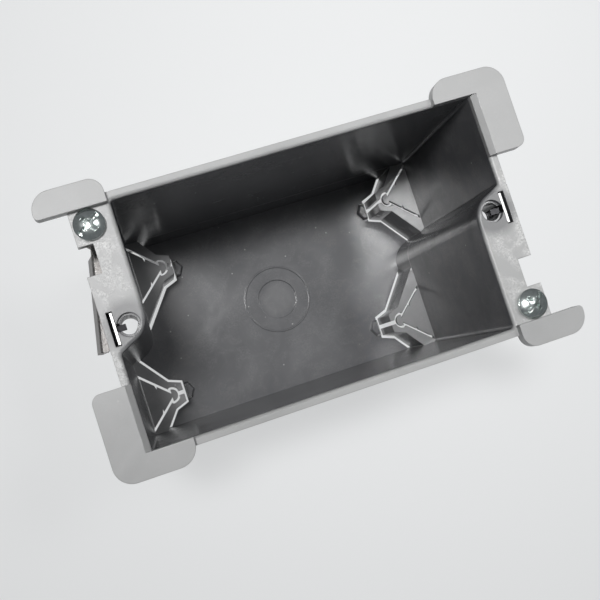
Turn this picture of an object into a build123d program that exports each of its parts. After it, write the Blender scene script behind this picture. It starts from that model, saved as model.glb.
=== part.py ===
from build123d import *
from math import cos, radians
import os

os.makedirs("parts", exist_ok=True)

# A one-gang cut-in switch box of grey thermoplastic, lying on its back.
# X runs along the box, Y across it and Z out of its mouth. The origin is in the
# middle of the back's outer face. Half a turn about Z brings the box onto itself,
# so each end detail is made once, at the +X end, and turned for the other end.
# All sizes are in millimetres and all angles in degrees.

# The moulded shell
box_length = 94.0
box_width = 56.2
box_depth = 70.8
wall = 1.95
back_wall = 2.0
draft_angle = 0.7
inner_corner_radius = 0.8
back_edge_bevel = 0.9
lip_radius = 0.85

# Each end wall steps in on one half, which leaves a pocket outside for a swing screw
end_step = 7.25
step_foot_y = 5.4
step_head_y = 1.9
step_nose_radius = 6.0

# The plate that closes each outside pocket at the front
flange_thickness = 2.6
notch_depth = 3.3
notch_side_inset = 16.2
notch_length = 6.5

# Ears that bear on the face of the wall panel
ear_thickness = 2.9
ear_rise = 1.93
ear_reach_x = 6.6
ear_reach_y = 3.3
ear_corner_radius = 4.2
ear_tip_radius = 2.0
long_ear_run_x = 10.8
long_ear_run_y = 16.25
long_ear_bevel = 1.25
long_ear_bevel_drop = 1.0
short_ear_run = 8.7
short_ear_width = 5.6
short_ear_end_radius = 3.1

# Bosses for the wiring device's screws. The inset sets them 83.34 (3 9/32 in) apart.
device_hole_inset = 5.33
device_hole_radius = 2.0
device_counterbore_radius = 2.55
device_counterbore_depth = 0.9
boss_depth = 9.0
boss_reach_y = 4.9
boss_corner_radius = 2.0
clip_slot_inset = 2.0
clip_slot_width = 1.3
clip_slot_length = 7.4
clip_stem_width = 1.7
clip_slot_depth = 8.4

# Spring-steel clip that grips the device screw
clip_thickness = 0.55
clip_width = 6.9
clip_top_gap = 0.2
clip_side_gap = 0.08
clip_fold_height = 4.2
clip_tongue_width = 1.35
clip_tongue_drop = 2.4
clip_tongue_reach = 2.05
clip_tongue_dip = 0.35

# Swing screw, No. 6-32, with a combination recess
screw_end_inset = 3.7
screw_side_inset = 5.8
screw_radius = 1.75
screw_clearance = 0.07
screw_seat_gap = 0.05
screw_head_radius = 3.35
screw_head_edge = 1.1
screw_head_height = 2.0
screw_length = 41.0
screw_point = 1.0
recess_width = 0.95
recess_span = 3.5
recess_depth = 1.3
recess_taper = 12
recess_turn = 35
driver_slot_span = 5.6
driver_slot_depth = 0.85

# Swing wing, a steel stamping threaded on the screw
wing_drop = 12.0
wing_angle = 11.4
wing_overrun = 3.38
wing_steel = 1.2
wing_face_inner = 1.65
wing_face_outer = 0.95
wing_leg_height = 7.6
wing_leg_reach = 1.2
wing_leg_start = 4.6
wing_hub_radius = 3.1
wing_collar_radius = 2.75
wing_collar_length = 3.4
wing_tip_chamfer = 1.1
wing_bend_radius = 0.8

# Cable clamps moulded into the four back corners
clamp_side_inset = 9.3
clamp_top = 14.4
clamp_roof = 1.6
arm_kink_inset = 8.1
arm_kink_half = 3.75
arm_nose_inset = 11.3
arm_nose_half = 2.55
arm_slope = 1.3
arm_wall = 1.2
arm_foot_gap = 0.6
foot_slit = 0.85
nose_gap = 1.1
port_width = 15.0
port_corner_radius = 1.5
tongue_root_inset = 0.85
tongue_root_half = 7.12
tongue_neck_inset = 8.05
tongue_neck_half = 0.5
tongue_head_radius = 1.6
tongue_thickness = 1.4
tongue_slit = 0.6
tick_inset = 4.65
tick_width = 0.9
tick_depth = 0.85
hinge_inset = 1.15
hinge_gap = 0.04
hinge_web = 0.4
hinge_groove = 0.75
spur_length = 2.6
spur_half = 2.3
spur_height = 1.3
spur_bevel = 0.4

# Dish and ring left by the moulding gate in the middle of the back
gate_dish_radius = 5.5
gate_dish_depth = 0.45
gate_ring_radius = 9.5
gate_ring_rise = 0.25
gate_ring_width = 0.45

# Values that follow from the sizes above
inner_x = box_length / 2 - wall
inner_y = box_width / 2 - wall
step_x = inner_x - end_step
ear_x = box_length / 2 + ear_reach_x
ear_y = box_width / 2 + ear_reach_y
ear_top = box_depth + ear_rise
long_ear_start_x = box_length / 2 - long_ear_run_x
long_ear_foot_y = box_width / 2 - long_ear_run_y
short_ear_end_x = box_length / 2 - short_ear_run
notch_near_y = box_width / 2 - notch_side_inset
device_x = box_length / 2 - device_hole_inset
clip_slot_x = box_length / 2 - clip_slot_inset
screw_x = box_length / 2 - screw_end_inset
screw_y = box_width / 2 - screw_side_inset
wing_length = (screw_y + wing_overrun) / cos(radians(wing_angle))
clamp_axis_y = inner_y - clamp_side_inset
arm_kink_x = inner_x - arm_kink_inset
arm_nose_x = inner_x - arm_nose_inset
tongue_root_x = inner_x - tongue_root_inset
tongue_neck_x = inner_x - tongue_neck_inset
tick_x = inner_x - tick_inset
hinge_x = inner_x - hinge_inset
screw_dome_rise = screw_head_height - screw_head_edge
screw_dome_radius = (screw_head_radius**2 + screw_dome_rise**2) / (2 * screw_dome_rise)
arm_root_x = inner_x + wall / 2
arm_side_y = inner_y + wall / 2
half_turn = Rotation(0, 0, 180)


def arm_half(x):
    """Half the width of a cable clamp at x, over the straight run of its arms."""
    return arm_kink_half + (x - arm_kink_x) * arm_slope


def tongue_half(x):
    """Half the width of a clamp's tongue at x, from its neck to its root."""
    share = (x - tongue_neck_x) / (tongue_root_x - tongue_neck_x)
    return tongue_neck_half + share * (tongue_root_half - tongue_neck_half)


# Plan of the mouth, with sharp corners
with BuildSketch(Plane.XY.offset(box_depth)) as mouth:
    with BuildLine():
        Polyline(
            (-inner_x, -inner_y),
            (step_x, -inner_y),
            (step_x, step_head_y),
            (inner_x, step_foot_y),
            (inner_x, inner_y),
            (-step_x, inner_y),
            (-step_x, -step_head_y),
            (-inner_x, -step_foot_y),
            close=True,
        )
    make_face()


def upright_edges(part, reach):
    """The edges that run down a shell, sorted into corners, feet and noses of its steps."""
    upright = part.edges().filter_by(lambda e: abs((e % 0.5).Z) > 0.9)
    corners = upright.filter_by(lambda e: abs((e @ 0.5).Y) > inner_y - wall)
    middle = upright.filter_by(lambda e: abs((e @ 0.5).Y) < inner_y - wall)
    feet = middle.filter_by(lambda e: abs((e @ 0.5).X) > reach)
    noses = middle.filter_by(lambda e: abs((e @ 0.5).X) < reach)
    return corners, feet, noses


# The space inside, and the outside of the walls, both narrower at the back
with BuildPart() as cavity:
    extrude(mouth.sketch, amount=-(box_depth - back_wall))
    sides = cavity.faces().filter_by(Axis.Z, reverse=True)
    draft(sides, Plane.XY.offset(box_depth), -draft_angle)
    corners, feet, noses = upright_edges(cavity, inner_x - end_step / 2)
    fillet(noses, step_nose_radius)
    corners, feet, noses = upright_edges(cavity, inner_x - end_step / 2)
    fillet(corners + feet, inner_corner_radius)

with BuildPart() as envelope:
    with BuildSketch(Plane.XY.offset(box_depth)) as shell_outline:
        offset(mouth.sketch, amount=wall, kind=Kind.INTERSECTION)
    extrude(amount=-box_depth)
    sides = envelope.faces().filter_by(Axis.Z, reverse=True)
    draft(sides, Plane.XY.offset(box_depth), -draft_angle)
    corners, feet, noses = upright_edges(envelope, inner_x - end_step / 2 + wall)
    fillet(noses, step_nose_radius - wall)
    corners, feet, noses = upright_edges(envelope, inner_x - end_step / 2 + wall)
    fillet(corners + feet, inner_corner_radius + wall)
    chamfer(envelope.faces().sort_by(Axis.Z)[0].edges(), back_edge_bevel)

# Plan of a cable clamp at the +X +Y corner: its arms, its tongue and the slit
with BuildSketch() as arms_plan:
    with BuildLine():
        Polyline(
            (arm_root_x, clamp_axis_y - arm_half(arm_root_x)),
            (arm_kink_x, clamp_axis_y - arm_kink_half),
            (arm_nose_x, clamp_axis_y - arm_nose_half),
            (arm_nose_x, clamp_axis_y + arm_nose_half),
            (arm_kink_x, clamp_axis_y + arm_kink_half),
            (arm_kink_x + (arm_side_y - clamp_axis_y - arm_kink_half) / arm_slope, arm_side_y),
            (arm_root_x, arm_side_y),
            close=True,
        )
    make_face()

with BuildSketch() as tongue_plan:
    with Locations((tongue_neck_x, clamp_axis_y)):
        Circle(tongue_head_radius)
        Rectangle(
            tongue_head_radius,
            2 * tongue_head_radius,
            align=(Align.MIN, Align.CENTER),
            mode=Mode.SUBTRACT,
        )
    with BuildLine():
        Polyline(
            (tongue_neck_x, clamp_axis_y - tongue_neck_half),
            (arm_root_x, clamp_axis_y - tongue_half(arm_root_x)),
            (arm_root_x, clamp_axis_y + tongue_half(arm_root_x)),
            (tongue_neck_x, clamp_axis_y + tongue_neck_half),
            close=True,
        )
    make_face()

with BuildSketch() as slit_plan:
    offset(tongue_plan.sketch, amount=tongue_slit, kind=Kind.ARC)
    with Locations((arm_nose_x, clamp_axis_y)):
        Rectangle(2 * (tongue_neck_x - tongue_head_radius - arm_nose_x), nose_gap)
    with Locations((tongue_root_x, clamp_axis_y)):
        Rectangle(box_width, box_width, align=(Align.MIN, Align.CENTER), mode=Mode.SUBTRACT)

# Roof and side walls of one clamp, with the slits cut and the tongue's root left on
with BuildPart() as clamp_arms:
    with BuildSketch(Plane.XY.offset(arm_foot_gap)):
        add(arms_plan.sketch)
    extrude(amount=clamp_top - arm_foot_gap)
    with BuildSketch():
        offset(arms_plan.sketch, amount=-arm_wall, kind=Kind.INTERSECTION)
    extrude(amount=clamp_top - clamp_roof, mode=Mode.SUBTRACT)
    with BuildSketch():
        add(slit_plan.sketch)
    extrude(amount=clamp_top, mode=Mode.SUBTRACT)
    with BuildSketch(Plane.XY.offset(clamp_top - tongue_thickness)):
        add(tongue_plan.sketch)
        with Locations((hinge_x + hinge_gap, clamp_axis_y)):
            Rectangle(box_width, box_width, align=(Align.MAX, Align.CENTER), mode=Mode.SUBTRACT)
    extrude(amount=tongue_thickness)
    with BuildSketch(Plane.XZ.offset(-clamp_axis_y)):
        with BuildLine():
            Polyline(
                (hinge_x + hinge_gap, clamp_top - hinge_web),
                (hinge_x + hinge_gap + hinge_groove, clamp_top - tongue_thickness),
                (hinge_x + hinge_gap, clamp_top - tongue_thickness),
                close=True,
            )
        make_face()
    extrude(amount=tongue_root_half, both=True, mode=Mode.SUBTRACT)

# The tongue of that clamp, free along its slit and thinned where it bends
with BuildPart() as clamp_tongue:
    with BuildSketch(Plane.XY.offset(clamp_top - tongue_thickness)):
        add(tongue_plan.sketch)
        with Locations((hinge_x, clamp_axis_y)):
            Rectangle(box_width, box_width, align=(Align.MIN, Align.CENTER), mode=Mode.SUBTRACT)
        for side in (-1, 1):
            with BuildLine():
                Polyline(
                    (tick_x - tick_width / 2, clamp_axis_y + side * tongue_half(tick_x + tick_width)),
                    (tick_x, clamp_axis_y + side * (tongue_half(tick_x) - tick_depth)),
                    (tick_x + tick_width / 2, clamp_axis_y + side * tongue_half(tick_x + tick_width)),
                    close=True,
                )
            make_face(mode=Mode.SUBTRACT)
    extrude(amount=tongue_thickness)
    with BuildSketch(Plane.XZ.offset(-clamp_axis_y)):
        with BuildLine():
            Polyline(
                (hinge_x, clamp_top - hinge_web),
                (hinge_x, clamp_top - tongue_thickness),
                (hinge_x - hinge_groove, clamp_top - tongue_thickness),
                close=True,
            )
        make_face()
    extrude(amount=tongue_root_half, both=True, mode=Mode.SUBTRACT)

# Where the back is cut away under a clamp, with the slit round the arms' feet
with BuildPart() as clamp_window:
    with BuildSketch():
        offset(arms_plan.sketch, amount=foot_slit, kind=Kind.INTERSECTION)
        with Locations((tongue_root_x, 0)):
            Rectangle(box_length, 2 * box_width, align=(Align.MIN, Align.CENTER), mode=Mode.SUBTRACT)
        with Locations((0, inner_y - wall / 2)):
            Rectangle(2 * box_length, box_width, align=(Align.CENTER, Align.MIN), mode=Mode.SUBTRACT)
    extrude(amount=back_wall)

# The cable's way in through the end wall, under a clamp's roof
with BuildPart() as clamp_port:
    with BuildSketch(Plane.YZ.offset(hinge_x)):
        with Locations((clamp_axis_y, 0)):
            RectangleRounded(port_width, 2 * (clamp_top - clamp_roof), port_corner_radius)
    extrude(amount=tongue_root_x - hinge_x + 2 * wall)

# The small wedge on the back that a cable is pressed against
with BuildPart() as clamp_spur:
    with BuildSketch(Plane.XY.offset(back_wall)):
        with BuildLine():
            Polyline(
                (arm_nose_x - foot_slit, clamp_axis_y - spur_half),
                (arm_nose_x - foot_slit, clamp_axis_y + spur_half),
                (arm_nose_x - foot_slit - spur_length / 2, clamp_axis_y + spur_half),
                (arm_nose_x - foot_slit - spur_length, clamp_axis_y),
                (arm_nose_x - foot_slit - spur_length / 2, clamp_axis_y - spur_half),
                close=True,
            )
        make_face()
    extrude(amount=spur_height)
    chamfer(clamp_spur.faces().sort_by(Axis.Z)[-1].edges(), spur_bevel)


def at_corners(part):
    """The four places of a clamp detail: two at the full end walls, two at the stepped ones."""
    stepped = mirror(part, about=Plane.XZ, mode=Mode.PRIVATE).moved(Location((-end_step, 0, 0)))
    return {
        "upper_right": part,
        "lower_right": stepped,
        "lower_left": half_turn * part,
        "upper_left": half_turn * stepped,
    }


# Ears, boss and flange details of the +X end
with BuildPart() as end_ears:
    with BuildSketch(Plane.XY.offset(ear_top)):
        with BuildLine():
            Polyline(
                (long_ear_start_x, inner_y),
                (long_ear_start_x, ear_y),
                (ear_x, ear_y),
                (ear_x, long_ear_foot_y),
                (inner_x, long_ear_foot_y),
                (inner_x, inner_y),
                close=True,
            )
        make_face()
    extrude(amount=-ear_thickness)
    outer_corner = end_ears.edges().filter_by(Axis.Z).group_by(Axis.Y)[-1].sort_by(Axis.X)
    fillet(outer_corner, ear_corner_radius)
    foot_tip = end_ears.edges().filter_by(Axis.Z).group_by(Axis.Y)[0].sort_by(Axis.X)[-1]
    fillet(foot_tip, ear_tip_radius)
    with BuildSketch(Plane.XZ.offset(-long_ear_foot_y)):
        with BuildLine():
            Polyline(
                (inner_x, ear_top),
                (inner_x + long_ear_bevel, ear_top),
                (inner_x, ear_top - long_ear_bevel_drop),
                close=True,
            )
        make_face()
    extrude(amount=-(inner_y - long_ear_foot_y), mode=Mode.SUBTRACT)

with BuildPart() as short_ear:
    with BuildSketch(Plane.XY.offset(ear_top)):
        with Locations((ear_x, -ear_y)):
            Rectangle(ear_x - short_ear_end_x, short_ear_width, align=(Align.MAX, Align.MIN))
    extrude(amount=-ear_thickness)
    upright = short_ear.edges().filter_by(Axis.Z)
    fillet(upright.group_by(Axis.X)[0].sort_by(Axis.Y)[0], short_ear_end_radius)
    upright = short_ear.edges().filter_by(Axis.Z)
    fillet(upright.group_by(Axis.X)[-1].sort_by(Axis.Y)[0], ear_corner_radius)
    upright = short_ear.edges().filter_by(Axis.Z)
    fillet(upright.group_by(Axis.X)[-1].sort_by(Axis.Y)[-1], ear_tip_radius / 2)

# The plate over the outside pocket, with the boss for the device's screw
with BuildPart() as end_flange:
    with BuildSketch(Plane.XY.offset(box_depth)):
        with Locations((box_length / 2, boss_reach_y)):
            Rectangle(
                box_length / 2 - step_x,
                box_width / 2 + boss_reach_y,
                align=(Align.MAX, Align.MAX),
            )
    extrude(amount=-flange_thickness)
    fillet(
        end_flange.edges().filter_by(Axis.Z).group_by(Axis.Y)[0].sort_by(Axis.X)[-1],
        inner_corner_radius + wall,
    )
    with BuildSketch(Plane.XY.offset(box_depth)) as boss_plan:
        with Locations((box_length / 2, 0)):
            Rectangle(box_length / 2 - step_x, 2 * boss_reach_y, align=(Align.MAX, Align.CENTER))
        fillet(boss_plan.vertices().group_by(Axis.X)[-1], boss_corner_radius)
    extrude(amount=-boss_depth)

# The box: everything that is moulded in one, without the four hinged tongues
with BuildPart() as box_body:
    add(envelope.part)
    add(end_flange.part)
    add(half_turn * end_flange.part)
    add(cavity.part, mode=Mode.SUBTRACT)

    rim = box_body.edges().filter_by_position(Axis.Z, box_depth - 0.01, box_depth + 0.01)
    rim = rim.filter_by_position(Axis.Y, -inner_y - 0.01, inner_y + 0.01)
    rim = rim.filter_by(lambda e: abs((e @ 0.5).X) < inner_x + 0.01)
    fillet(rim, lip_radius)

    for turn in (Rotation(0, 0, 0), half_turn):
        add(turn * end_ears.part)
        add(turn * short_ear.part)

    # Holes, clip slots and notches in the two flanges
    for turn in (Rotation(0, 0, 0), half_turn):
        with Locations(turn * Location((device_x, 0, box_depth))):
            CounterBoreHole(
                radius=device_hole_radius,
                counter_bore_radius=device_counterbore_radius,
                counter_bore_depth=device_counterbore_depth,
                depth=boss_depth,
            )
        with Locations(turn * Location((screw_x, -screw_y, box_depth))):
            Hole(radius=screw_radius + screw_clearance, depth=flange_thickness)
        with BuildSketch(Plane.XY.offset(box_depth)):
            with Locations(turn * Location((clip_slot_x, 0))):
                Rectangle(clip_slot_width, clip_slot_length)
            with Locations(turn * Location((clip_slot_x, 0))):
                Rectangle(clip_slot_x - device_x, clip_stem_width, align=(Align.MAX, Align.CENTER))
        extrude(amount=-clip_slot_depth, mode=Mode.SUBTRACT)
        with BuildSketch(Plane.XY.offset(box_depth)):
            with Locations(turn * Location((box_length / 2, -notch_near_y))):
                Rectangle(notch_depth, notch_length, align=(Align.MAX, Align.MAX))
        extrude(amount=-flange_thickness, mode=Mode.SUBTRACT)

    # Cable clamps in the four back corners
    for part in at_corners(clamp_window.part).values():
        add(part, mode=Mode.SUBTRACT)
    for part in at_corners(clamp_arms.part).values():
        add(part & envelope.part)
    for part in at_corners(clamp_port.part).values():
        add(part, mode=Mode.SUBTRACT)
    for part in at_corners(clamp_spur.part).values():
        add(part)

    # The gate's mark in the middle of the back
    with BuildSketch(Plane.XY.offset(back_wall)):
        Circle(gate_ring_radius)
        Circle(gate_ring_radius - gate_ring_width, mode=Mode.SUBTRACT)
    extrude(amount=gate_ring_rise)
    with BuildSketch(Plane.XY.offset(back_wall)):
        Circle(gate_dish_radius)
    extrude(amount=-gate_dish_depth, mode=Mode.SUBTRACT)

# A spring-steel strip folded on itself, with a tongue that catches the device's screw
clip_inner_x = clip_slot_x - clip_slot_width / 2 + clip_side_gap
clip_outer_x = clip_slot_x + clip_slot_width / 2 - clip_side_gap
clip_top = box_depth - clip_top_gap
clip_bottom = box_depth - clip_slot_depth + clip_side_gap
clip_tongue_z = clip_top - clip_tongue_drop

with BuildPart() as device_clip:
    with BuildSketch(Plane.XZ) as clip_fold:
        with Locations(((clip_inner_x + clip_outer_x) / 2, clip_bottom)):
            Rectangle(
                clip_outer_x - clip_inner_x,
                clip_top - clip_bottom,
                align=(Align.CENTER, Align.MIN),
            )
        fillet(clip_fold.vertices().group_by(Axis.Y)[0], (clip_outer_x - clip_inner_x) / 2.02)
        with Locations((clip_inner_x + clip_thickness, clip_bottom + clip_thickness)):
            Rectangle(
                clip_outer_x - clip_inner_x - 2 * clip_thickness,
                clip_top - clip_bottom,
                align=(Align.MIN, Align.MIN),
                mode=Mode.SUBTRACT,
            )
        with Locations((clip_inner_x + clip_thickness, clip_bottom + clip_fold_height)):
            Rectangle(
                clip_outer_x - clip_inner_x,
                clip_top - clip_bottom,
                align=(Align.MIN, Align.MIN),
                mode=Mode.SUBTRACT,
            )
    extrude(amount=clip_width / 2, both=True)
    with BuildSketch(Plane.XZ):
        with Locations((clip_inner_x + clip_thickness / 2, clip_tongue_z)):
            Rectangle(
                2 * clip_thickness,
                clip_tongue_reach,
                align=(Align.CENTER, Align.MAX),
            )
    extrude(amount=clip_tongue_width / 2, both=True, mode=Mode.SUBTRACT)
    with BuildSketch(Plane.XZ):
        with BuildLine():
            Polyline(
                (clip_inner_x + clip_thickness, clip_tongue_z),
                (clip_inner_x, clip_tongue_z),
                (clip_inner_x - clip_tongue_reach, clip_tongue_z - clip_tongue_dip),
                (clip_inner_x - clip_tongue_reach, clip_tongue_z - clip_tongue_dip - clip_thickness),
                (clip_inner_x, clip_tongue_z - clip_thickness),
                (clip_inner_x + clip_thickness, clip_tongue_z - clip_thickness),
                close=True,
            )
        make_face()
    extrude(amount=clip_tongue_width / 2, both=True)

# Swing screw: its head bears on the flange and its shank hangs in the outside pocket.
# It is drawn about Z with the underside of its head at Z = 0.
with BuildPart() as swing_screw:
    with BuildSketch(Plane.XZ):
        with BuildLine():
            Polyline(
                (0, screw_head_height),
                (0, -screw_length),
                (screw_radius - screw_point, -screw_length),
                (screw_radius, -screw_length + screw_point),
                (screw_radius, 0),
                (screw_head_radius, 0),
                (screw_head_radius, screw_head_edge),
            )
            RadiusArc((screw_head_radius, screw_head_edge), (0, screw_head_height), -screw_dome_radius)
        make_face()
    revolve(axis=Axis.Z)
    with BuildSketch(Plane.XY.offset(screw_head_height)):
        Rectangle(recess_span, recess_width, rotation=recess_turn)
        Rectangle(recess_width, recess_span, rotation=recess_turn)
    extrude(amount=-recess_depth, taper=recess_taper, mode=Mode.SUBTRACT)
    with BuildSketch(Plane.XY.offset(screw_head_height)):
        Rectangle(driver_slot_span, recess_width, rotation=recess_turn)
    extrude(amount=-driver_slot_depth, mode=Mode.SUBTRACT)

# Swing wing: a stamped arm with a leg folded down along it and a drawn, tapped collar.
# It is drawn about Z with its arm along X and its front face at Z = 0.
with BuildPart() as swing_wing:
    with BuildSketch():
        with Locations((0, wing_face_inner)):
            Rectangle(wing_leg_start, wing_face_inner + wing_face_outer, align=(Align.MIN, Align.MAX))
        Circle(wing_hub_radius)
    extrude(amount=-wing_steel)
    with BuildSketch(Plane.YZ.offset(wing_leg_start)) as arm_section:
        with BuildLine():
            Polyline(
                (wing_face_inner, 0),
                (-wing_face_outer, 0),
                (-wing_face_outer - wing_leg_reach, -wing_leg_height),
                (-wing_face_outer - wing_leg_reach + wing_steel, -wing_leg_height),
                (-wing_face_outer + wing_steel, -wing_steel),
                (wing_face_inner, -wing_steel),
                close=True,
            )
        make_face()
        fillet(arm_section.vertices().group_by(Axis.Y)[-1].sort_by(Axis.X)[0], wing_bend_radius)
    extrude(amount=wing_length - wing_leg_start)
    tip = swing_wing.edges().filter_by(Axis.Z).group_by(Axis.X)[-1]
    chamfer(tip.sort_by(Axis.Y)[-1], wing_tip_chamfer)
    with BuildSketch(Plane.XY.offset(-wing_steel)):
        Circle(wing_collar_radius)
    extrude(amount=-wing_collar_length)
    with BuildSketch():
        Circle(screw_radius + screw_clearance)
    extrude(amount=-(wing_steel + wing_collar_length), mode=Mode.SUBTRACT)

# Every piece in its place
screw_place = Location((screw_x, -screw_y, box_depth + screw_seat_gap))
wing_place = Location((screw_x, -screw_y, box_depth - wing_drop), (0, 0, 90 - wing_angle))
pieces = {
    "box_body": box_body.part,
    "device_clip_right": device_clip.part,
    "device_clip_left": half_turn * device_clip.part,
    "swing_screw_right": screw_place * swing_screw.part,
    "swing_screw_left": half_turn * screw_place * swing_screw.part,
    "swing_wing_right": wing_place * swing_wing.part,
    "swing_wing_left": half_turn * wing_place * swing_wing.part,
}
for corner, part in at_corners(clamp_tongue.part).items():
    pieces["clamp_tongue_" + corner] = part

for name, part in pieces.items():
    part.label = name
    export_step(part, f"parts/{name}.step")
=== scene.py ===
import math

import bpy
import numpy as np
from mathutils import Matrix, Vector


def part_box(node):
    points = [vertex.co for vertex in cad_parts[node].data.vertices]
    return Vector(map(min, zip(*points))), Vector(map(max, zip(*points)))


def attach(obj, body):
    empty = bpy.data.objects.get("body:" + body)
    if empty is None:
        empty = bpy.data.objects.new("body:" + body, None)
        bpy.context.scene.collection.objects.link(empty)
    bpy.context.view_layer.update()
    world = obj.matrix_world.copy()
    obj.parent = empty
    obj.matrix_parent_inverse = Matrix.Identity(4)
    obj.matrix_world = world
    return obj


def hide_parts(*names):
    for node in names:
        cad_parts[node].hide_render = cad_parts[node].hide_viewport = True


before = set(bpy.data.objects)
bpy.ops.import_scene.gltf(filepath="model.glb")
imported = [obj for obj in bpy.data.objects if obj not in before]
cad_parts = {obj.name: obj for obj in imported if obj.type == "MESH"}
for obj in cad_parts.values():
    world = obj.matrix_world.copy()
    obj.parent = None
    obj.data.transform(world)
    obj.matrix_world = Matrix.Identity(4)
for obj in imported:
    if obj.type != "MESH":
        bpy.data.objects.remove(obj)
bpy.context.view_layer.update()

scene = bpy.context.scene
scene.view_settings.view_transform = "Standard"

# The box. Five walls, flanges, ears, bosses and clamp arms, all injected in
# one shot of grey thermoplastic. The tool leaves the walls with a gloss, and the
# faces towards the room finely spark-textured. The plastic is one grey, but the
# faces towards the room are painted lighter, as painted sheen, and the walls
# inside are painted darker, as painted shade.
PAINTED_SHEEN_LIGHT = (0.450, 0.452, 0.450, 1.0)
PAINTED_SHEEN_DARK = (0.395, 0.397, 0.396, 1.0)
PAINTED_SHADE_LIGHT = (0.142, 0.143, 0.149, 1.0)
PAINTED_SHADE_DARK = (0.098, 0.099, 0.105, 1.0)
RIM_HEIGHT = 0.0703
EAR_HEIGHT = 0.0714
FLANGE_START = 0.0375
CLAMP_HEIGHT = 0.0144
HOLE_CENTRE = (0.04167, 0.0, 0.0700)
BOSS_RADIUS = 0.0066
GATE_CENTRE = (0.0, 0.0, 0.0024)
GATE_RADIUS = 0.0054
SINK_DEPTH = 0.0006
GRAIN_DEPTH = 0.00005
SCUFF_AND_SHEEN_WHITE = (0.80, 0.80, 0.79, 1.0)
DUST_GREY = (0.55, 0.55, 0.54, 1.0)


def moulded_skin_group():
    """Shader group for moulded plastic: spark grain, slow flow clouds, whitened scuffs that are partly
    painted sheen, and dust.

    Grain is noise at the tool's spark size, clouds are the same noise some
    hundred times larger. The scuff patches are a fine noise let through only
    inside the patches of a coarser one, and are painted whiter, partly as
    scuffing and partly as painted sheen. A speck of dust is where a cell noise
    of the distance to the nearest point falls under a small radius.
    """
    group = bpy.data.node_groups.new("moulded skin", "ShaderNodeTree")
    for name, kind, value in (
        ("Grain Size", "NodeSocketFloat", 0.00016),
        ("Cloud Size", "NodeSocketFloat", 0.020),
        ("Scuff Size", "NodeSocketFloat", 0.00042),
        ("Dark", "NodeSocketColor", PAINTED_SHADE_DARK),
        ("Light", "NodeSocketColor", PAINTED_SHADE_LIGHT),
        ("Scuffs And Sheen", "NodeSocketFloat", 0.3),
        ("Dust", "NodeSocketFloat", 0.5),
    ):
        socket = group.interface.new_socket(name=name, in_out="INPUT", socket_type=kind)
        socket.default_value = value
    for name, kind in (
        ("Color", "NodeSocketColor"),
        ("Grain", "NodeSocketFloat"),
        ("Clouds", "NodeSocketFloat"),
        ("Scuffed", "NodeSocketFloat"),
    ):
        group.interface.new_socket(name=name, in_out="OUTPUT", socket_type=kind)
    nodes, link = group.nodes, group.links.new
    entry = nodes.new("NodeGroupInput")
    leave = nodes.new("NodeGroupOutput")
    place = nodes.new("ShaderNodeTexCoord")

    def maths(operation, first, second):
        node = nodes.new("ShaderNodeMath")
        node.operation = operation
        for socket, value in zip(node.inputs, (first, second)):
            if isinstance(value, (int, float)):
                socket.default_value = value
            else:
                link(value, socket)
        return node.outputs[0]

    def noise(size, detail, distortion=0.0):
        node = nodes.new("ShaderNodeTexNoise")
        node.inputs["Detail"].default_value = detail
        node.inputs["Distortion"].default_value = distortion
        link(place.outputs["Object"], node.inputs["Vector"])
        link(maths("DIVIDE", 1.0, size), node.inputs["Scale"])
        return node.outputs["Fac"]

    def window(value, low, high, first=0.0, last=1.0):
        node = nodes.new("ShaderNodeMapRange")
        for name, amount in (("From Min", low), ("From Max", high), ("To Min", first), ("To Max", last)):
            node.inputs[name].default_value = amount
        link(value, node.inputs["Value"])
        return node.outputs["Result"]

    def blend(first, second, share):
        node = nodes.new("ShaderNodeMix")
        node.data_type = "RGBA"
        for name, value in (("A", first), ("B", second)):
            if isinstance(value, tuple):
                node.inputs[name].default_value = value
            else:
                link(value, node.inputs[name])
        link(share, node.inputs["Factor"])
        return node.outputs["Result"]

    clouds = noise(entry.outputs["Cloud Size"], 3.0, 0.7)
    fine = window(noise(entry.outputs["Scuff Size"], 6.0, 0.6), 0.36, 0.70)
    patches = window(noise(maths("MULTIPLY", entry.outputs["Scuff Size"], 12.0), 3.0, 1.2), 0.42, 0.62)
    scuffs_and_sheen = maths("MULTIPLY", maths("MULTIPLY", fine, patches), entry.outputs["Scuffs And Sheen"])

    specks = nodes.new("ShaderNodeTexVoronoi")
    specks.inputs["Scale"].default_value = 190.0
    link(place.outputs["Object"], specks.inputs["Vector"])
    near = window(specks.outputs["Distance"], 0.028, 0.050, 1.0, 0.0)
    speck = maths("MULTIPLY", near, entry.outputs["Dust"])

    body = blend(entry.outputs["Dark"], entry.outputs["Light"], window(clouds, 0.32, 0.68))
    # The scuff patches are painted whiter: partly scuffing, partly painted sheen.
    worn_and_sheened = blend(body, SCUFF_AND_SHEEN_WHITE, scuffs_and_sheen)
    link(blend(worn_and_sheened, DUST_GREY, speck), leave.inputs["Color"])
    link(noise(entry.outputs["Grain Size"], 3.0), leave.inputs["Grain"])
    link(clouds, leave.inputs["Clouds"])
    link(scuffs_and_sheen, leave.inputs["Scuffed"])
    return group


skin_group = moulded_skin_group()


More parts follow.
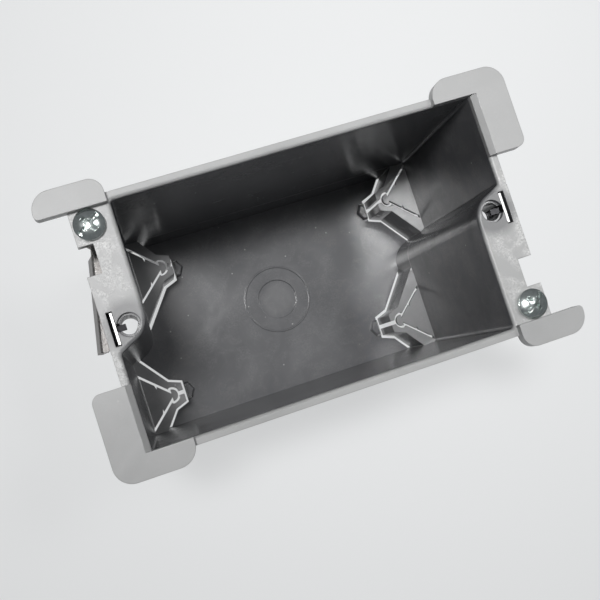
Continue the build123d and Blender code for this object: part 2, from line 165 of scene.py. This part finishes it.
def moulded_plastic(name, edge_radius=0.00025):
    """Grey moulded plastic. Where a face lies and looks tells the spark-textured outside from the gloss
    inside.

    The face is spark-textured, rougher and painted lighter as painted sheen
    above RIM_HEIGHT, or where its normal points away from the middle of the
    box. Elsewhere it is smoother and painted darker as painted shade. The
    clamps' roofs are painted partway to the lighter tone, as painted light
    falling on them, and the gate's dish is a little frosted and lighter. The
    flanges, lower than EAR_HEIGHT, carry scuffs whose whitening is partly
    painted sheen. Round each device hole the face is painted darker with the
    shade tone.
    """
    material = bpy.data.materials.new(name)
    material.use_nodes = True
    nodes, link = material.node_tree.nodes, material.node_tree.links.new
    surface = nodes["Principled BSDF"]
    surface.inputs["IOR"].default_value = 1.53
    surface.inputs["Specular IOR Level"].default_value = 0.55
    place = nodes.new("ShaderNodeTexCoord")

    def maths(operation, *values):
        node = nodes.new("ShaderNodeMath")
        node.operation = operation
        for socket, value in zip(node.inputs, values):
            if isinstance(value, (int, float)):
                socket.default_value = value
            else:
                link(value, socket)
        return node.outputs["Value"]

    def vector(operation, first, second=None, out="Vector"):
        node = nodes.new("ShaderNodeVectorMath")
        node.operation = operation
        link(first, node.inputs[0])
        if isinstance(second, tuple):
            node.inputs[1].default_value = second
        elif second is not None:
            link(second, node.inputs[1])
        return node.outputs[out]

    def window(value, low, high, first=0.0, last=1.0):
        node = nodes.new("ShaderNodeMapRange")
        for name, amount in (("From Min", low), ("From Max", high), ("To Min", first), ("To Max", last)):
            node.inputs[name].default_value = amount
        link(value, node.inputs["Value"])
        return node.outputs["Result"]

    height = nodes.new("ShaderNodeSeparateXYZ")
    link(place.outputs["Object"], height.inputs["Vector"])
    above = window(height.outputs["Z"], RIM_HEIGHT - 0.0003, RIM_HEIGHT + 0.0003)
    level = vector("MULTIPLY", place.outputs["Object"], (1.0, 1.0, 0.0))
    outward = vector("DOT_PRODUCT", level, place.outputs["Normal"], "Value")
    face = maths("MAXIMUM", above, window(outward, 0.008, 0.012))
    folded = vector("ABSOLUTE", place.outputs["Object"])
    # Round each device hole the face is painted darker with the painted shade tone, and kept free of
    # scuffs.
    from_hole = vector("LENGTH", vector("SUBTRACT", folded, HOLE_CENTRE), None, "Value")
    bossed = window(from_hole, 0.0042, BOSS_RADIUS, 1.0, 0.0)
    # The clamps' roofs face the lamp and are painted partway to the lighter tone: painted light.
    off_roof = maths("ABSOLUTE", maths("SUBTRACT", height.outputs["Z"], CLAMP_HEIGHT))
    painted_light_roof = maths("LESS_THAN", off_roof, 0.0002)
    from_gate = vector("LENGTH", vector("SUBTRACT", folded, GATE_CENTRE), None, "Value")
    frosted = maths("MULTIPLY", window(from_gate, 0.0036, GATE_RADIUS, 1.0, 0.0), 0.14)
    painted_light_share = maths("ADD", maths("MULTIPLY_ADD", painted_light_roof, 0.35, face), frosted)
    along = nodes.new("ShaderNodeSeparateXYZ")
    link(folded, along.inputs["Vector"])
    ends = window(along.outputs["X"], FLANGE_START, FLANGE_START + 0.004)
    lower = window(height.outputs["Z"], EAR_HEIGHT, EAR_HEIGHT + 0.0002, 1.0, 0.0)
    flange = maths("MULTIPLY", maths("MULTIPLY", above, lower), ends)
    scuffs_and_sheen = maths("MULTIPLY", flange, maths("SUBTRACT", 1.0, bossed))

    skin = nodes.new("ShaderNodeGroup")
    skin.node_tree = skin_group
    skin.inputs["Dust"].default_value = 0.5
    link(window(scuffs_and_sheen, 0.0, 1.0, 0.05, 0.95), skin.inputs["Scuffs And Sheen"])
    # The lighter tone is painted sheen, on the outside faces and partway on the clamps' roofs. The
    # darker tone is painted shade, on the walls inside and round each device hole.
    for name, shade_tone, sheen_tone in (
        ("Light", PAINTED_SHADE_LIGHT, PAINTED_SHEEN_LIGHT),
        ("Dark", PAINTED_SHADE_DARK, PAINTED_SHEEN_DARK),
    ):
        tone = nodes.new("ShaderNodeMix")
        tone.data_type = "RGBA"
        tone.inputs["A"].default_value = shade_tone
        tone.inputs["B"].default_value = sheen_tone
        link(maths("MULTIPLY_ADD", bossed, -0.70, painted_light_share), tone.inputs["Factor"])
        link(tone.outputs["Result"], skin.inputs[name])
    link(skin.outputs["Color"], surface.inputs["Base Color"])
    smooth = window(face, 0.0, 1.0, 0.15, 0.31)
    link(maths("MULTIPLY_ADD", skin.outputs["Clouds"], 0.12, smooth), surface.inputs["Roughness"])

    soft = nodes.new("ShaderNodeBevel")
    soft.samples = 6
    soft.inputs["Radius"].default_value = edge_radius
    sinks = nodes.new("ShaderNodeBump")
    sinks.inputs["Distance"].default_value = SINK_DEPTH
    sinks.inputs["Strength"].default_value = 0.26
    link(skin.outputs["Clouds"], sinks.inputs["Height"])
    link(soft.outputs["Normal"], sinks.inputs["Normal"])
    grain = nodes.new("ShaderNodeBump")
    grain.inputs["Distance"].default_value = GRAIN_DEPTH
    grain.inputs["Strength"].default_value = 0.6
    relief = maths("MULTIPLY", skin.outputs["Grain"], window(face, 0.0, 1.0, 0.10, 0.55))
    link(maths("ADD", relief, skin.outputs["Scuffed"]), grain.inputs["Height"])
    link(sinks.outputs["Normal"], grain.inputs["Normal"])
    link(grain.outputs["Normal"], surface.inputs["Normal"])
    return material


def finish_node(name, material):
    """The CAD node called name, with this material on every face."""
    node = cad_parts[name]
    node.data.materials.clear()
    node.data.materials.append(material)
    return node


box_plastic = moulded_plastic("moulded grey plastic")
finish_node("box_body", box_plastic)

# The clamp tongues. Each is moulded with the box and hangs on a thin web at
# its root, so a cable pushes it up and it bites the sheath.
tongue_plastic = moulded_plastic("clamp tongue plastic", 0.00015)
for corner in ("upper_left", "upper_right", "lower_left", "lower_right"):
    finish_node("clamp_tongue_" + corner, tongue_plastic)

# The device clips. Spring-steel strip, lanced and folded, dropped into the
# slot beside each device hole so that its tongue rides in the screw's thread.


def plated_steel_group():
    """Shader group for plated steel: drawn scratches over a crystalline plating.

    Scratches are a noise whose place is stretched along the drawn direction.
    The crystals are a cell noise, where each cell has one tone of its own.
    """
    group = bpy.data.node_groups.new("plated steel", "ShaderNodeTree")
    for name, kind, value in (
        ("Dull", "NodeSocketColor", (0.3, 0.3, 0.3, 1.0)),
        ("Bright", "NodeSocketColor", (0.6, 0.6, 0.6, 1.0)),
        ("Roughness", "NodeSocketFloat", 0.3),
        ("Stretch", "NodeSocketVector", (1.0, 1.0, 1.0)),
        ("Crystal Size", "NodeSocketFloat", 0.0005),
        ("Crystals", "NodeSocketFloat", 0.3),
    ):
        socket = group.interface.new_socket(name=name, in_out="INPUT", socket_type=kind)
        socket.default_value = value
    for name, kind in (
        ("Color", "NodeSocketColor"),
        ("Roughness", "NodeSocketFloat"),
        ("Height", "NodeSocketFloat"),
    ):
        group.interface.new_socket(name=name, in_out="OUTPUT", socket_type=kind)
    nodes, link = group.nodes, group.links.new
    entry = nodes.new("NodeGroupInput")
    leave = nodes.new("NodeGroupOutput")
    place = nodes.new("ShaderNodeTexCoord")

    def maths(operation, *values):
        node = nodes.new("ShaderNodeMath")
        node.operation = operation
        for socket, value in zip(node.inputs, values):
            if isinstance(value, (int, float)):
                socket.default_value = value
            else:
                link(value, socket)
        return node.outputs["Value"]

    stretched = nodes.new("ShaderNodeVectorMath")
    stretched.operation = "MULTIPLY"
    link(place.outputs["Object"], stretched.inputs[0])
    link(entry.outputs["Stretch"], stretched.inputs[1])
    scratch = nodes.new("ShaderNodeTexNoise")
    scratch.inputs["Scale"].default_value = 1400.0
    scratch.inputs["Detail"].default_value = 5.0
    link(stretched.outputs["Vector"], scratch.inputs["Vector"])
    crystal = nodes.new("ShaderNodeTexVoronoi")
    link(place.outputs["Object"], crystal.inputs["Vector"])
    link(maths("DIVIDE", 1.0, entry.outputs["Crystal Size"]), crystal.inputs["Scale"])
    tone = nodes.new("ShaderNodeSeparateColor")
    link(crystal.outputs["Color"], tone.inputs["Color"])
    facet = maths("MULTIPLY", tone.outputs["Red"], entry.outputs["Crystals"])
    rubbed = maths("MULTIPLY_ADD", scratch.outputs["Fac"], 0.7, facet)
    mixed = nodes.new("ShaderNodeMix")
    mixed.data_type = "RGBA"
    link(rubbed, mixed.inputs["Factor"])
    link(entry.outputs["Dull"], mixed.inputs["A"])
    link(entry.outputs["Bright"], mixed.inputs["B"])
    link(mixed.outputs["Result"], leave.inputs["Color"])
    uneven = maths("ADD", scratch.outputs["Fac"], facet)
    coarse = maths("MULTIPLY_ADD", uneven, 0.18, entry.outputs["Roughness"])
    link(maths("SUBTRACT", coarse, 0.10), leave.inputs["Roughness"])
    link(maths("MULTIPLY_ADD", scratch.outputs["Fac"], 0.35, facet), leave.inputs["Height"])
    return group


plating_group = plated_steel_group()


def plated_steel(name, dull, bright, roughness, stretch, crystal_size, crystals, relief=0.00002):
    """Plated steel with its edges broken by a Bevel node; relief is the height of its texture."""
    material = bpy.data.materials.new(name)
    material.use_nodes = True
    nodes, link = material.node_tree.nodes, material.node_tree.links.new
    surface = nodes["Principled BSDF"]
    surface.inputs["Metallic"].default_value = 1.0
    plating = nodes.new("ShaderNodeGroup")
    plating.node_tree = plating_group
    for name, value in (
        ("Dull", dull + (1.0,)),
        ("Bright", bright + (1.0,)),
        ("Roughness", roughness),
        ("Stretch", stretch),
        ("Crystal Size", crystal_size),
        ("Crystals", crystals),
    ):
        plating.inputs[name].default_value = value
    link(plating.outputs["Color"], surface.inputs["Base Color"])
    link(plating.outputs["Roughness"], surface.inputs["Roughness"])
    soft = nodes.new("ShaderNodeBevel")
    soft.samples = 6
    soft.inputs["Radius"].default_value = 0.00012
    bump = nodes.new("ShaderNodeBump")
    bump.inputs["Distance"].default_value = relief
    bump.inputs["Strength"].default_value = 0.5
    link(plating.outputs["Height"], bump.inputs["Height"])
    link(soft.outputs["Normal"], bump.inputs["Normal"])
    link(bump.outputs["Normal"], surface.inputs["Normal"])
    return material


def painted_top_highlight(material, start, full):
    """Brighten a plated material from height start to height full: a painted highlight along the strip's
    top edge.
    """
    nodes, link = material.node_tree.nodes, material.node_tree.links.new
    surface = nodes["Principled BSDF"]
    plating = next(node for node in nodes if node.type == "GROUP")
    place = nodes.new("ShaderNodeTexCoord")
    height = nodes.new("ShaderNodeSeparateXYZ")
    link(place.outputs["Object"], height.inputs["Vector"])
    edge = nodes.new("ShaderNodeMapRange")
    edge.inputs["From Min"].default_value = start
    edge.inputs["From Max"].default_value = full
    link(height.outputs["Z"], edge.inputs["Value"])
    shine = nodes.new("ShaderNodeMix")
    shine.data_type = "RGBA"
    shine.inputs["B"].default_value = (0.80, 0.80, 0.79, 1.0)
    link(edge.outputs["Result"], shine.inputs["Factor"])
    link(plating.outputs["Color"], shine.inputs["A"])
    link(shine.outputs["Result"], surface.inputs["Base Color"])


# The strip is painted near black, as painted shade for the slot it lies in. Its top edge gets a painted
# highlight.
CLIP_TOP = 0.0706
STRIP_DULL = (0.022, 0.022, 0.024)
STRIP_BRIGHT = (0.070, 0.070, 0.073)
spring_steel = plated_steel(
    "spring steel strip", STRIP_DULL, STRIP_BRIGHT, 0.46, (6.0, 0.5, 6.0), 0.0004, 0.1
)
painted_top_highlight(spring_steel, CLIP_TOP - 0.00025, CLIP_TOP - 0.00010)
for side in ("left", "right"):
    finish_node("device_clip_" + side, spring_steel)

# The swing screws. Zinc-plated No. 6-32 pan heads with a combination recess,
# dropped through the flange; each shank hangs free in the outside pocket.
HEAD_RADIUS = 0.00335
HEAD_EDGE = 0.0011
HEAD_HEIGHT = 0.0020
SHANK_RADIUS = 0.00175
ROOT_RADIUS = 0.00138
THREAD_PITCH = 0.0254 / 32
POINT_LENGTH = 0.0010
THREAD_START = 0.0032
RECESS_TURN = math.radians(35)
CROSS_REACH = 0.00172
CROSS_HALF_WIDTH = 0.00042
CROSS_DEPTH = 0.00130
SLOT_REACH = 0.00280
SLOT_HALF_WIDTH = 0.00046
SLOT_DEPTH = 0.00082


def grid_mesh(name, points, wrap_first=False, wrap_second=False):
    """A mesh from a grid of points, faces wound so that first x second axes point outwards."""
    count_a, count_b = points.shape[:2]
    index = np.arange(count_a * count_b).reshape(count_a, count_b)
    if wrap_first:
        index = np.vstack([index, index[:1]])
    if wrap_second:
        index = np.hstack([index, index[:, :1]])
    quads = np.stack(
        [index[:-1, :-1], index[1:, :-1], index[1:, 1:], index[:-1, 1:]], axis=-1
    ).reshape(-1, 4)
    mesh = bpy.data.meshes.new(name)
    mesh.vertices.add(count_a * count_b)
    mesh.vertices.foreach_set("co", points.astype(np.float32).ravel())
    mesh.loops.add(quads.size)
    mesh.loops.foreach_set("vertex_index", quads.ravel().astype(np.int32))
    mesh.polygons.add(len(quads))
    mesh.polygons.foreach_set("loop_start", np.arange(0, quads.size, 4, dtype=np.int32))
    mesh.update(calc_edges=True)
    mesh.validate()
    mesh.shade_smooth()
    return mesh


def screw_head_points(rings=150, spokes=288):
    """Head of a pan-head screw: a dome over a short straight edge, closed underneath.

    The dome's height falls as a circle through the top and the edge. A cross
    and a slot are sunk into it: each is a rectangle in plan whose depth fades
    in over its sloping sides.
    """
    rise = HEAD_HEIGHT - HEAD_EDGE
    dome = (HEAD_RADIUS**2 + rise**2) / (2 * rise)
    turn = np.linspace(0, 2 * np.pi, spokes, endpoint=False)[:, None]
    reach = np.linspace(0, 1, rings)[None, :]
    radius = HEAD_RADIUS * reach * 0.985
    top = HEAD_HEIGHT - dome + np.sqrt(dome**2 - radius**2)
    along = radius * np.cos(turn - RECESS_TURN)
    across = radius * np.sin(turn - RECESS_TURN)

    def fade(distance, width):
        return np.clip(0.5 - distance / width, 0, 1)

    def arm(lengthways, sideways):
        end = fade(np.abs(lengthways) - CROSS_REACH, 0.0004)
        flank = fade(np.abs(sideways) - CROSS_HALF_WIDTH, 0.00022)
        return np.minimum(end, flank)

    cross = np.maximum(arm(along, across), arm(across, along))
    slot = np.minimum(
        fade(np.abs(along) - SLOT_REACH, 0.0003),
        fade(np.abs(across) - SLOT_HALF_WIDTH, 0.00012),
    )
    sink = np.maximum(cross * CROSS_DEPTH, slot * SLOT_DEPTH)
    height = top - sink
    x = radius * np.cos(turn)
    y = radius * np.sin(turn)
    face = np.stack([x, y, np.broadcast_to(height, x.shape)], axis=-1)
    rim_r = HEAD_RADIUS * np.array([0.996, 1.0, 1.0, 1.0, 0.99, 0.60, 0.0])
    rim_z = np.array([HEAD_EDGE + 0.00004, HEAD_EDGE - 0.00003, 0.0006, 0.00012, 0.0, 0.0, 0.0])
    rim = np.stack(
        [rim_r * np.cos(turn), rim_r * np.sin(turn), np.broadcast_to(rim_z, (spokes, len(rim_z)))],
        axis=-1,
    )
    return np.concatenate([face, rim], axis=1)


def thread_points(length, start, around=40, steps_per_turn=14):
    """Threaded shank: radius is a triangle wave of height over pitch less turn over a full turn.

    The wave is cut flat at crest and root, fades out under the head, and the
    whole radius tapers to the point.
    """
    turns = length / THREAD_PITCH
    rows = int(turns * steps_per_turn)
    turn = np.linspace(0, 2 * np.pi, around, endpoint=False)[:, None]
    depth = np.linspace(0, length, rows)[None, :]
    phase = (depth / THREAD_PITCH + turn / (2 * np.pi)) % 1.0
    wave = np.clip(2.4 * np.abs(2 * phase - 1) - 0.7, 0, 1)
    fade_in = np.clip((depth - start) / 0.0008, 0, 1)
    radius = ROOT_RADIUS + (SHANK_RADIUS - ROOT_RADIUS) * (wave * fade_in + 0.35 * (1 - fade_in))
    left = length - depth
    radius = np.minimum(radius, SHANK_RADIUS - POINT_LENGTH + left)
    x = radius * np.cos(turn)
    y = radius * np.sin(turn)
    z = np.broadcast_to(-depth, x.shape)
    shank = np.stack([x, y, z], axis=-1)
    tip = np.zeros((around, 1, 3))
    tip[..., 2] = -length
    return np.concatenate([shank, tip], axis=1)


ZINC_DULL = (0.40, 0.44, 0.43)
ZINC_BRIGHT = (0.70, 0.75, 0.73)
zinc_plate = plated_steel(
    "zinc plated screw", ZINC_DULL, ZINC_BRIGHT, 0.20, (1.0, 1.0, 1.0), 0.0003, 0.12, 0.00001
)
for side in ("left", "right"):
    low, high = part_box("swing_screw_" + side)
    centre = Vector(((low.x + high.x) / 2, (low.y + high.y) / 2, 0))
    seat = high.z - HEAD_HEIGHT
    for part, points in (
        ("head", screw_head_points()),
        ("thread", thread_points(seat - low.z, THREAD_START)),
    ):
        points = points + np.array([centre.x, centre.y, seat])
        name = "swing_screw_" + part + "_" + side
        mesh = grid_mesh(name, points, wrap_first=True)
        piece = bpy.data.objects.new(name, mesh)
        scene.collection.objects.link(piece)
        mesh.materials.append(zinc_plate)
        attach(piece, "screw_" + side)
        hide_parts("swing_screw_" + side)

# The swing wings. Stamped from zinc-plated steel sheet, with a leg folded
# back for stiffness and a drawn, tapped collar that runs on the screw.
# The wing's colours are painted dark, near black with a brown cast: painted shade over the zinc plating.
WING_DULL = (0.030, 0.025, 0.024)
WING_BRIGHT = (0.270, 0.262, 0.255)
wing_steel = plated_steel(
    "stamped wing steel", WING_DULL, WING_BRIGHT, 0.40, (1.0, 1.0, 0.6), 0.00034, 0.62, 0.00007
)
for side in ("left", "right"):
    finish_node("swing_wing_" + side, wing_steel)

# The table and the light. The box stands on its back on a pale table, under
# soft lamps, with most light from above and beyond its right end.
FLOOR_WHITE = (0.82, 0.83, 0.835, 1.0)
FLOOR_SHARE = 0.70
FLOOR_REACH = 12.0
ROOM_LIGHT = 0.105
ROOM_SEEN = 0.735
ROOM_MIRRORED = 0.10


def pale_floor():
    """A large flat sheet under the box, white to the camera and in reflections."""
    mesh = bpy.data.meshes.new("table")
    mesh.from_pydata(
        [(x * FLOOR_REACH, y * FLOOR_REACH, 0) for x, y in ((-1, -1), (1, -1), (1, 1), (-1, 1))],
        [],
        [(0, 1, 2, 3)],
    )
    table = bpy.data.objects.new("table", mesh)
    scene.collection.objects.link(table)
    material = bpy.data.materials.new("pale table")
    material.use_nodes = True
    surface = material.node_tree.nodes["Principled BSDF"]
    surface.inputs["Base Color"].default_value = FLOOR_WHITE
    surface.inputs["Roughness"].default_value = 0.6
    nodes, link = material.node_tree.nodes, material.node_tree.links.new
    glow = nodes.new("ShaderNodeEmission")
    glow.inputs["Color"].default_value = FLOOR_WHITE
    path = nodes.new("ShaderNodeLightPath")
    seen = nodes.new("ShaderNodeMath")
    seen.operation = "MAXIMUM"
    link(path.outputs["Is Camera Ray"], seen.inputs[0])
    link(path.outputs["Is Glossy Ray"], seen.inputs[1])
    share = nodes.new("ShaderNodeMath")
    share.operation = "MULTIPLY"
    share.inputs[1].default_value = FLOOR_SHARE
    link(seen.outputs["Value"], share.inputs[0])
    blend = nodes.new("ShaderNodeMixShader")
    link(share.outputs["Value"], blend.inputs["Fac"])
    link(surface.outputs["BSDF"], blend.inputs[1])
    link(glow.outputs["Emission"], blend.inputs[2])
    link(blend.outputs["Shader"], nodes["Material Output"].inputs["Surface"])
    mesh.materials.append(material)
    return table


pale_floor()


def pale_room():
    """A dim even room that is pale where it is seen, and a little less so in reflections."""
    world = bpy.data.worlds.new("room")
    world.use_nodes = True
    nodes, link = world.node_tree.nodes, world.node_tree.links.new
    room = nodes["Background"]
    room.inputs["Color"].default_value = (0.93, 0.96, 1.0, 1.0)
    path = nodes.new("ShaderNodeLightPath")
    seen = nodes.new("ShaderNodeMath")
    seen.operation = "MULTIPLY_ADD"
    seen.inputs[1].default_value = ROOM_SEEN
    seen.inputs[2].default_value = ROOM_LIGHT
    link(path.outputs["Is Camera Ray"], seen.inputs[0])
    mirrored = nodes.new("ShaderNodeMath")
    mirrored.operation = "MULTIPLY_ADD"
    mirrored.inputs[1].default_value = ROOM_MIRRORED
    link(path.outputs["Is Glossy Ray"], mirrored.inputs[0])
    link(seen.outputs["Value"], mirrored.inputs[2])
    link(mirrored.outputs["Value"], room.inputs["Strength"])
    return world


scene.world = pale_room()


def soft_lamp(name, place, aim, size, power, spread):
    """A rectangular area lamp at place, turned to aim, with its beam held to the spread."""
    light = bpy.data.lights.new(name, "AREA")
    light.shape = "RECTANGLE"
    light.size, light.size_y = size
    light.energy = power
    light.spread = math.radians(spread)
    lamp = bpy.data.objects.new(name, light)
    scene.collection.objects.link(lamp)
    lamp.matrix_world = Matrix.Translation(Vector(place)) @ (
        (Vector(place) - Vector(aim)).to_track_quat("Z", "Y").to_matrix().to_4x4()
    )
    return lamp


soft_lamp("ceiling lamp", (-0.17, 0.25, 1.20), (0.06, 0.09, 0.07), (0.34, 0.28), 0.27, 17)
soft_lamp("side lamp", (0.52, 0.20, 1.15), (0.06, 0.06, 0.07), (0.40, 0.36), 0.085, 20)

# The camera. It stands close over the box and a little to the left of its
# middle, turned so that the box lies across the picture with its right end up.
camera_data = bpy.data.cameras.new("camera")
camera_data.sensor_width = 36.0
camera_data.lens = 55.99
camera_data.clip_start = 0.01
camera = bpy.data.objects.new("camera", camera_data)
scene.collection.objects.link(camera)
right = Vector((0.93867782, -0.31142437, 0.14798244))
up = Vector((0.29864938, 0.94884917, 0.10243925))
back = Vector((-0.1723151, -0.05196259, 0.98367037))
turn = Matrix((right, up, back)).transposed().to_4x4()
camera.matrix_world = Matrix.Translation(Vector((-0.04026, -0.01625, 0.26691))) @ turn
scene.camera = camera
